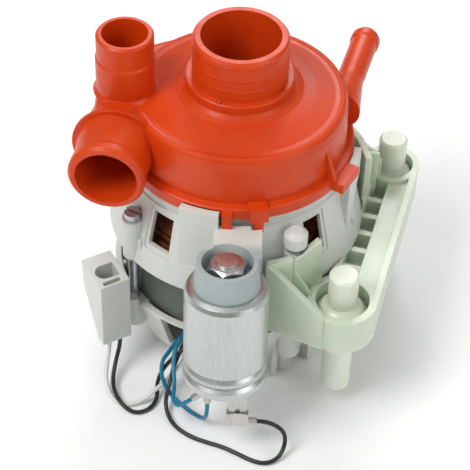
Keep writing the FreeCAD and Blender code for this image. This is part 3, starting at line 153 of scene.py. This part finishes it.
def moulded(name, dark, light, roughness, grain=900.0, relief=0.00006, edge=0.0004, coat=0.0, milky=0.0,
            gloss=0.5, painted_front_shade=None):
    """Injection-moulded plastic: slight flow marks, a fine grain and soft edges.

    Painted shade can be given: a darker colour towards the viewer, with the two places along Y between
    which it gives way to the plastic's own colour.
    """
    material, tree, shader = new_material(name)
    flow = noise(tree, 60.0, 2.0, stretch=(1, 1, 0.5))
    colour = ramp(tree, flow, dark, light)
    # Painted shade: in front of the first Y place the plastic takes the darker given colour, blending
    # back to its own colour by the second.
    if painted_front_shade:
        place = add(tree, "ShaderNodeTexCoord")
        split = add(tree, "ShaderNodeSeparateXYZ")
        reach = add(tree, "ShaderNodeMapRange")
        mix = add(tree, "ShaderNodeMix", data_type="RGBA")
        reach.inputs["From Min"].default_value = painted_front_shade[1]
        reach.inputs["From Max"].default_value = painted_front_shade[2]
        mix.inputs[6].default_value = (*painted_front_shade[0], 1)
        tree.links.new(place.outputs["Object"], split.inputs["Vector"])
        tree.links.new(split.outputs["Y"], reach.inputs["Value"])
        tree.links.new(reach.outputs["Result"], mix.inputs[0])
        tree.links.new(colour, mix.inputs[7])
        colour = mix.outputs[2]
    tree.links.new(colour, shader.inputs["Base Color"])
    shader.inputs["Specular IOR Level"].default_value = gloss
    worn = noise(tree, 260.0, 4.0)
    worn_roughness = ramp(tree, worn, grey(roughness - 0.05), grey(roughness + 0.07))
    tree.links.new(worn_roughness, shader.inputs["Roughness"])
    bumped(tree, shader, noise(tree, grain, 3.0), 0.35, relief, edge)
    shader.inputs["Coat Weight"].default_value = coat
    shader.inputs["Coat Roughness"].default_value = 0.2
    if milky:
        shader.inputs["Subsurface Weight"].default_value = milky
        shader.inputs["Subsurface Radius"].default_value = (1.0, 0.9, 0.75)
        shader.inputs["Subsurface Scale"].default_value = 0.004
    return material


def metal(name, dark, light, roughness, stretch=(1, 1, 1), scale=700.0, relief=0.00003, edge=0.0002):
    """Bare or plated metal with a drawn or turned grain."""
    material, tree, shader = new_material(name)
    grain = noise(tree, scale, 5.0, 0.6, stretch)
    tree.links.new(ramp(tree, grain, dark, light), shader.inputs["Base Color"])
    grain_roughness = ramp(tree, grain, grey(roughness - 0.07), grey(roughness + 0.1))
    tree.links.new(grain_roughness, shader.inputs["Roughness"])
    shader.inputs["Metallic"].default_value = 1.0
    bumped(tree, shader, grain, 0.3, relief, edge)
    return material


def banded(name, dark, light, period, direction, metallic, roughness, relief, kind="BANDS"):
    """Stacked sheets or wound wire: fine even ridges with a little disorder."""
    material, tree, shader = new_material(name)
    place = add(tree, "ShaderNodeTexCoord")
    wave = add(tree, "ShaderNodeTexWave", wave_type=kind)
    if kind == "BANDS":
        wave.bands_direction = direction
    else:
        wave.rings_direction = direction
    wave.inputs["Scale"].default_value = 0.314 / period
    wave.inputs["Distortion"].default_value = 1.2
    wave.inputs["Detail"].default_value = 2.0
    wave.inputs["Detail Scale"].default_value = 1.5
    tree.links.new(place.outputs["Object"], wave.inputs["Vector"])
    tree.links.new(ramp(tree, wave.outputs["Fac"], dark, light, 0.1, 0.9), shader.inputs["Base Color"])
    worn = noise(tree, 300.0, 4.0)
    worn_roughness = ramp(tree, worn, grey(roughness - 0.08), grey(roughness + 0.12))
    tree.links.new(worn_roughness, shader.inputs["Roughness"])
    shader.inputs["Metallic"].default_value = metallic
    bumped(tree, shader, wave.outputs["Fac"], 0.6, relief, 0.0002)
    return material


MATERIALS = {
    "casing": moulded("orange_pp", (0.60, 0.046, 0.003), (0.67, 0.060, 0.005), 0.33, relief=0.00004,
                      gloss=0.3),
    "plate": moulded("plate_white", (0.56, 0.58, 0.55), (0.61, 0.63, 0.60), 0.45),
    "seal_rubber": moulded("rubber", (0.012, 0.012, 0.012), (0.022, 0.022, 0.022), 0.62),
    "spring_steel": metal("spring_steel", grey(0.45), grey(0.6), 0.3),
    "carbon": moulded("carbon", (0.02, 0.02, 0.022), (0.035, 0.035, 0.038), 0.4),
    "ceramic": moulded("ceramic", (0.78, 0.77, 0.72), (0.83, 0.82, 0.78), 0.25),
    "impeller": moulded("impeller_pp", (0.30, 0.035, 0.012), (0.36, 0.045, 0.015), 0.4),
    "shaft_steel": metal("shaft_steel", grey(0.42), grey(0.55), 0.25, stretch=(1, 1, 12)),
    "lamination": banded("lamination", (0.080, 0.092, 0.075), (0.17, 0.20, 0.16), 0.0007, "Z", 0.3, 0.5,
                         0.0001),
    "end_ring": metal("cast_aluminium", grey(0.5), grey(0.62), 0.42),
    "bush_bronze": metal("bronze", (0.36, 0.22, 0.1), (0.46, 0.29, 0.13), 0.4),
    "washer_plastic": moulded("nylon_white", (0.66, 0.66, 0.62), (0.72, 0.72, 0.68), 0.45),
    "copper": banded("copper_wire", (0.16, 0.035, 0.015), (0.55, 0.19, 0.075), 0.0009, "Z", 0.75, 0.38,
                     0.0003, kind="RINGS"),
    # Painted shade: the capacitor arm and cup, in front of Y -0.0585, are painted a darker bluish grey.
    "bell": moulded("white_pbt_painted_shade", (0.62, 0.64, 0.60), (0.68, 0.70, 0.655), 0.42, milky=0.12,
                    painted_front_shade=((0.37, 0.44, 0.44), -0.0585, -0.0545)),
    "zinc_steel": metal("zinc", (0.44, 0.47, 0.50), (0.60, 0.63, 0.66), 0.34),
    "can": metal("can_aluminium", (0.50, 0.53, 0.51), (0.62, 0.65, 0.63), 0.36, stretch=(1, 1, 0.06),
                 scale=1600.0),
    "capacitor_base": moulded("base_white", (0.52, 0.55, 0.55), (0.58, 0.61, 0.61), 0.4, milky=0.2),
    "tin_tabs": metal("tinned", (0.52, 0.51, 0.48), (0.66, 0.65, 0.62), 0.34),
    "bracket": moulded("green_nylon", (0.56, 0.65, 0.50), (0.62, 0.70, 0.56), 0.32, milky=0.5, coat=0.25),
    "pin": moulded("pale_nylon", (0.71, 0.76, 0.64), (0.76, 0.80, 0.69), 0.32, milky=0.5, coat=0.25),
    "white_wire": moulded("white_wire", (0.70, 0.70, 0.68), (0.78, 0.78, 0.76), 0.35, edge=0.0),
    "black_wire": moulded("black_wire", (0.010, 0.010, 0.011), (0.02, 0.02, 0.021), 0.32, edge=0.0),
    "blue_wire": moulded("blue_wire", (0.002, 0.18, 0.30), (0.004, 0.22, 0.36), 0.32, edge=0.0),
}

slots = {row["node"]: row["material_slot"] for row in frame["record"]["subparts"]}
for name, node in frame["nodes"].items():
    node.data.materials.clear()
    node.data.materials.append(MATERIALS[slots[name]])


# Trim
def add_piece(name, data, slot):
    """A piece of the scene's own that stays on the pump's body."""
    piece = bpy.data.objects.new(name, data)
    scene.collection.objects.link(piece)
    data.materials.append(MATERIALS[slot])
    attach(piece, "pump_body")
    return piece


def add_rings():
    """Faint raised lines round the inlet spout."""
    around = 96
    across = 8
    verts = []
    faces = []
    for z in SPOUT_RING_ZS:
        first = len(verts)
        for i in range(around):
            a = 2 * math.pi * i / around
            for j in range(across):
                b = 2 * math.pi * j / across
                r = SPOUT_R - SPOUT_RING_SUNK + SPOUT_RING_R * math.cos(b)
                verts.append((r * math.cos(a), r * math.sin(a), z + 2 * SPOUT_RING_R * math.sin(b)))
        for i in range(around):
            for j in range(across):
                k = (j + 1) % across
                near = first + i * across
                far = first + (i + 1) % around * across
                faces.append((near + j, far + j, far + k, near + k))
    mesh = bpy.data.meshes.new("spout_rings")
    mesh.from_pydata(verts, [], faces)
    for face in mesh.polygons:
        face.use_smooth = True
    add_piece("spout_rings", mesh, "casing")


def add_web():
    """Upright web that joins the far boss to the bell, facing the viewer."""
    front = [Vector(c) for c in WEB_CORNERS]
    back = [c + Vector((0, WEB_T, 0)) for c in front]
    count = len(front)
    faces = [tuple(reversed(range(count))), tuple(range(count, 2 * count))]
    for i in range(count):
        j = (i + 1) % count
        faces.append((i, j, count + j, count + i))
    mesh = bpy.data.meshes.new("bracket_web")
    mesh.from_pydata(front + back, [], faces)
    web = add_piece("bracket_web", mesh, "bracket")
    bevel = web.modifiers.new("edges", "BEVEL")
    bevel.width = WEB_EDGE
    bevel.segments = 2


add_rings()
add_web()

# Leads
WHITE_ROUTE = [
    (-0.0492, -0.0409, -0.1024), (-0.0492, -0.0409, -0.1100), (-0.0502, -0.0440, -0.1150),
    (-0.0507, -0.0510, -0.1194), (-0.0474, -0.0580, -0.1225), (-0.0421, -0.0613, -0.1225),
    (-0.0360, -0.0596, -0.1219), (-0.0309, -0.0565, -0.1189), (-0.0264, -0.0525, -0.1170),
    (-0.0220, -0.0490, -0.1137), (-0.0185, -0.0454, -0.1101), (-0.0164, -0.0404, -0.1076)]
BLACK_ROUTE = [
    (-0.0450, -0.0385, -0.1024), (-0.0450, -0.0385, -0.1100), (-0.0469, -0.0428, -0.1162),
    (-0.0479, -0.0510, -0.1205), (-0.0446, -0.0610, -0.1200), (-0.0384, -0.0654, -0.1223),
    (-0.0319, -0.0628, -0.1225), (-0.0292, -0.0570, -0.1220), (-0.0298, -0.0520, -0.1190),
    (-0.0276, -0.0493, -0.1133), (-0.0236, -0.0474, -0.1086), (-0.0192, -0.0454, -0.1052),
    (-0.0166, -0.0403, -0.1036)]
CAPACITOR_ROUTE = [
    (-0.0190, -0.0392, -0.1078), (-0.0214, -0.0445, -0.1098), (-0.0233, -0.0502, -0.1117),
    (-0.0247, -0.0571, -0.1151), (-0.0261, -0.0619, -0.1204), (-0.0230, -0.0698, -0.1225),
    (-0.0158, -0.0758, -0.1225), (-0.0086, -0.0786, -0.1225), (-0.0024, -0.0806, -0.1225),
    (0.0034, -0.0838, -0.1225), (0.0093, -0.0872, -0.1225), (0.0146, -0.0884, -0.1225),
    (0.0194, -0.0862, -0.1216), (0.0220, -0.0818, -0.1184), (0.0214, -0.0796, -0.1128),
    (0.0150, -0.0795, -0.1075), (0.0104, -0.0795, -0.1075)]
BLUE_ROUTE = [
    (-0.0193, -0.0390, -0.1028), (-0.0223, -0.0449, -0.1035), (-0.0233, -0.0507, -0.1075),
    (-0.0224, -0.0568, -0.1112), (-0.0224, -0.0620, -0.1128), (-0.0226, -0.0676, -0.1110),
    (-0.0198, -0.0723, -0.1094), (-0.0145, -0.0717, -0.1040)]
SECOND_BLUE_ROUTE = [
    (-0.0218, -0.0378, -0.1078), (-0.0251, -0.0432, -0.1091), (-0.0280, -0.0487, -0.1093),
    (-0.0277, -0.0534, -0.1142), (-0.0245, -0.0569, -0.1186), (-0.0196, -0.0610, -0.1210),
    (-0.0146, -0.0644, -0.1220), (-0.0104, -0.0684, -0.1206), (-0.0089, -0.0727, -0.1130),
    (-0.0089, -0.0719, -0.1057)]


def add_lead(node, route):
    """A round insulated wire along one smooth curve, in place of its CAD tube."""
    curve = bpy.data.curves.new(node + "_curve", "CURVE")
    curve.dimensions = "3D"
    curve.bevel_depth = LEAD_D / 2
    curve.bevel_resolution = 5
    curve.resolution_u = 8
    curve.use_fill_caps = True
    spline = curve.splines.new("NURBS")
    spline.points.add(len(route) - 1)
    for point, place in zip(spline.points, route):
        point.co = (*place, 1.0)
    spline.order_u = 3
    spline.use_endpoint_u = True
    piece = add_piece(node + "_wire", curve, slots[node])
    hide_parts(node)


add_lead("white_lead", WHITE_ROUTE)
add_lead("black_lead", BLACK_ROUTE)
add_lead("capacitor_lead", CAPACITOR_ROUTE)
add_lead("blue_lead", BLUE_ROUTE)
add_lead("second_blue_lead", SECOND_BLUE_ROUTE)

# Stage: a pale floor, a bright room and soft lamps
floor_mesh = bpy.data.meshes.new("floor")
floor_signs = ((-1, -1), (1, -1), (1, 1), (-1, 1))
floor_corners = [(x * FLOOR_HALF, y * FLOOR_HALF, FLOOR_Z) for x, y in floor_signs]
floor_mesh.from_pydata(floor_corners, [], [(0, 1, 2, 3)])
floor = bpy.data.objects.new("floor", floor_mesh)
scene.collection.objects.link(floor)
floor_material, floor_tree, floor_shader = new_material("floor")
floor_shader.inputs["Base Color"].default_value = (*grey(FLOOR_GREY), 1)
floor_shader.inputs["Roughness"].default_value = 0.8
floor.data.materials.append(floor_material)

# The room is bright overhead and dim at eye level, so that metal reflects some dark
world = bpy.data.worlds.new("room")
world.use_nodes = True
room = world.node_tree
room_place = add(room, "ShaderNodeTexCoord")
room_split = add(room, "ShaderNodeSeparateXYZ")
room.links.new(room_place.outputs["Generated"], room_split.inputs["Vector"])
room_grey = ramp(room, room_split.outputs["Z"], grey(ROOM_DIM), grey(ROOM_BRIGHT), 0.05, 0.75)
room.links.new(room_grey, room.nodes["Background"].inputs["Color"])
room.nodes["Background"].inputs["Strength"].default_value = ROOM_STRENGTH
scene.world = world


def add_lamp(name, place, size, power):
    """A round soft lamp that faces the pump."""
    data = bpy.data.lights.new(name, "AREA")
    data.shape = "DISK"
    data.size = size
    data.energy = power
    lamp = bpy.data.objects.new(name, data)
    lamp.location = place
    lamp.rotation_mode = "QUATERNION"
    lamp.rotation_quaternion = (Vector(LAMP_TARGET) - Vector(place)).to_track_quat("-Z", "Y")
    scene.collection.objects.link(lamp)


for lamp_row in LAMPS:
    add_lamp(*lamp_row)
